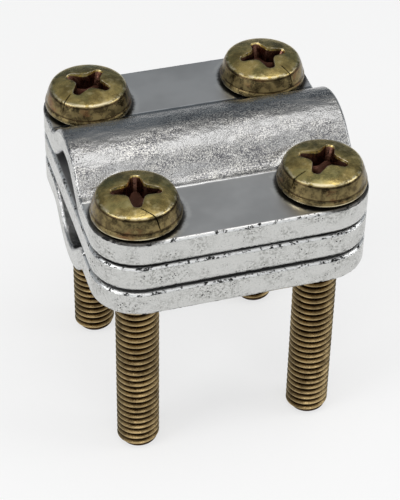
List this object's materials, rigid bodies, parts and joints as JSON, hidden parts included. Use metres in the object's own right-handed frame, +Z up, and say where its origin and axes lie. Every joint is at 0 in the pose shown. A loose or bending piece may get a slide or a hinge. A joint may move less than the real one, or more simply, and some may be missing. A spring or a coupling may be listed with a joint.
{
  "type": "parallel groove clamp",
  "caption": "Two-groove parallel clamp: ribbed top and bottom plates and a flat plate between them, drawn together by pan-head screws so that two conductors lie side by side in its grooves.",
  "frame": {"origin": "on the ground, midway between the four screw tips", "axes": "+X along the grooves, +Y across them, +Z up along the screws towards their heads"},
  "size_m": [0.0376, 0.0376, 0.0439],
  "materials": {
    "plate_alloy": "bright plated, satin, with fine pits on the cut edges",
    "screw_steel": "yellow-passivated zinc plate"
  },
  "bodies": {
    "bottom_plate": {"bottom_plate": "plate_alloy"},
    "top_plate": {"top_plate": "plate_alloy"},
    "middle_plate": {"middle_plate": "plate_alloy"},
    "screw_front_left": {"screw_front_left": "screw_steel"},
    "screw_front_right": {"screw_front_right": "screw_steel"},
    "screw_back_left": {"screw_back_left": "screw_steel"},
    "screw_back_right": {"screw_back_right": "screw_steel"}
  },
  "joints": [
    {"name": "clamp_opening", "type": "slide", "parent": "bottom_plate", "child": "top_plate", "axis": [0, 0, 1], "range_m": [0, 0.024]},
    {"name": "middle_plate_lift", "type": "slide", "parent": "bottom_plate", "child": "middle_plate", "axis": [0, 0, 1], "range_m": [0, 0.012]},
    {"name": "screw_front_left_turn", "type": "hinge", "parent": "top_plate", "child": "screw_front_left", "pos_m": [-0.0125, -0.0125, 0], "axis": [0, 0, 1], "range_deg": [0, 8641]},
    {"name": "screw_front_right_turn", "type": "hinge", "parent": "top_plate", "child": "screw_front_right", "pos_m": [0.0125, -0.0125, 0], "axis": [0, 0, 1], "range_deg": [0, 8641]},
    {"name": "screw_back_left_turn", "type": "hinge", "parent": "top_plate", "child": "screw_back_left", "pos_m": [-0.0125, 0.0125, 0], "axis": [0, 0, 1], "range_deg": [0, 8641]},
    {"name": "screw_back_right_turn", "type": "hinge", "parent": "top_plate", "child": "screw_back_right", "pos_m": [0.0125, 0.0125, 0], "axis": [0, 0, 1], "range_deg": [0, 8641]}
  ],
  "couplings": [
    {"joint": "middle_plate_lift", "follows": "clamp_opening", "ratio": 0.5},
    {"joint": "screw_front_left_turn", "follows": "clamp_opening", "rad_per_m": 6283.2},
    {"joint": "screw_front_right_turn", "follows": "clamp_opening", "rad_per_m": 6283.2},
    {"joint": "screw_back_left_turn", "follows": "clamp_opening", "rad_per_m": 6283.2},
    {"joint": "screw_back_right_turn", "follows": "clamp_opening", "rad_per_m": 6283.2}
  ]
}
